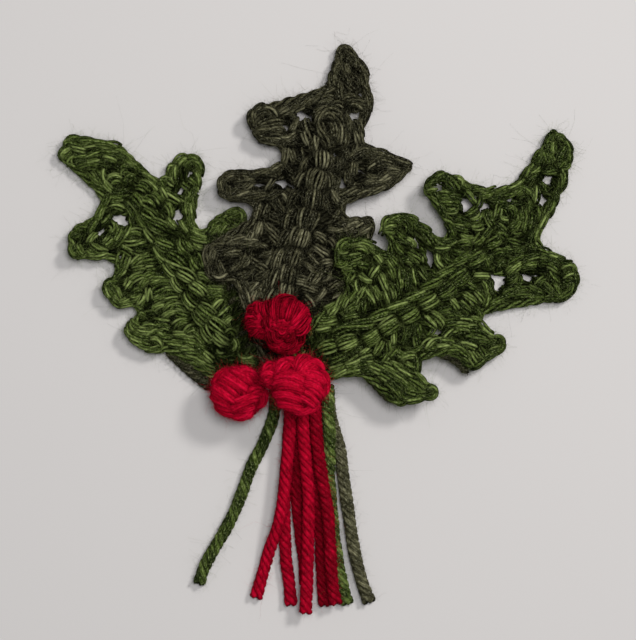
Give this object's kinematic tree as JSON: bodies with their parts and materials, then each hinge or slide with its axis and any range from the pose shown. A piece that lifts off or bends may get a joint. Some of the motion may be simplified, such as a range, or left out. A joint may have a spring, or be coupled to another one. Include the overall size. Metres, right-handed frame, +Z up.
{
  "type": "crocheted holly sprig",
  "caption": "Crocheted yarn holly sprig with lobed leaves fanned out, bobble berries over their bases and loose yarn tails, lying flat as an applique or wreath trim.",
  "frame": {"origin": "on the surface that the sprig lies on, under the middle of the box of its leaves and berries", "axes": "+X across the fan of leaves, from the left leaf to the right leaf; +Y from the berries to the middle leaf's tip, away from the tails; +Z up, out of the front of the leaves"},
  "size_m": [0.1304, 0.142, 0.0206],
  "materials": {
    "green_yarn": "plied worsted acrylic yarn in holly green, crocheted, slightly fuzzy, matt with a faint sheen on each ply",
    "olive_yarn": "plied worsted yarn in a dark olive brown heather, crocheted, slightly fuzzy, matt",
    "red_yarn": "plied worsted acrylic yarn in holly berry red, slightly fuzzy, matt with a faint sheen on each ply"
  },
  "bodies": {
    "root": {"leaf_left": "green_yarn", "leaf_middle": "olive_yarn", "leaf_right": "green_yarn", "berry_top": "red_yarn", "berry_left": "red_yarn", "berry_right": "red_yarn", "tail_green_left": "green_yarn", "tail_red_1": "red_yarn", "tail_red_2": "red_yarn", "tail_red_3": "red_yarn", "tail_red_4": "red_yarn", "tail_red_5": "red_yarn", "tail_red_6": "red_yarn", "tail_green_right": "green_yarn", "tail_olive_right": "olive_yarn"}
  },
  "joints": []
}
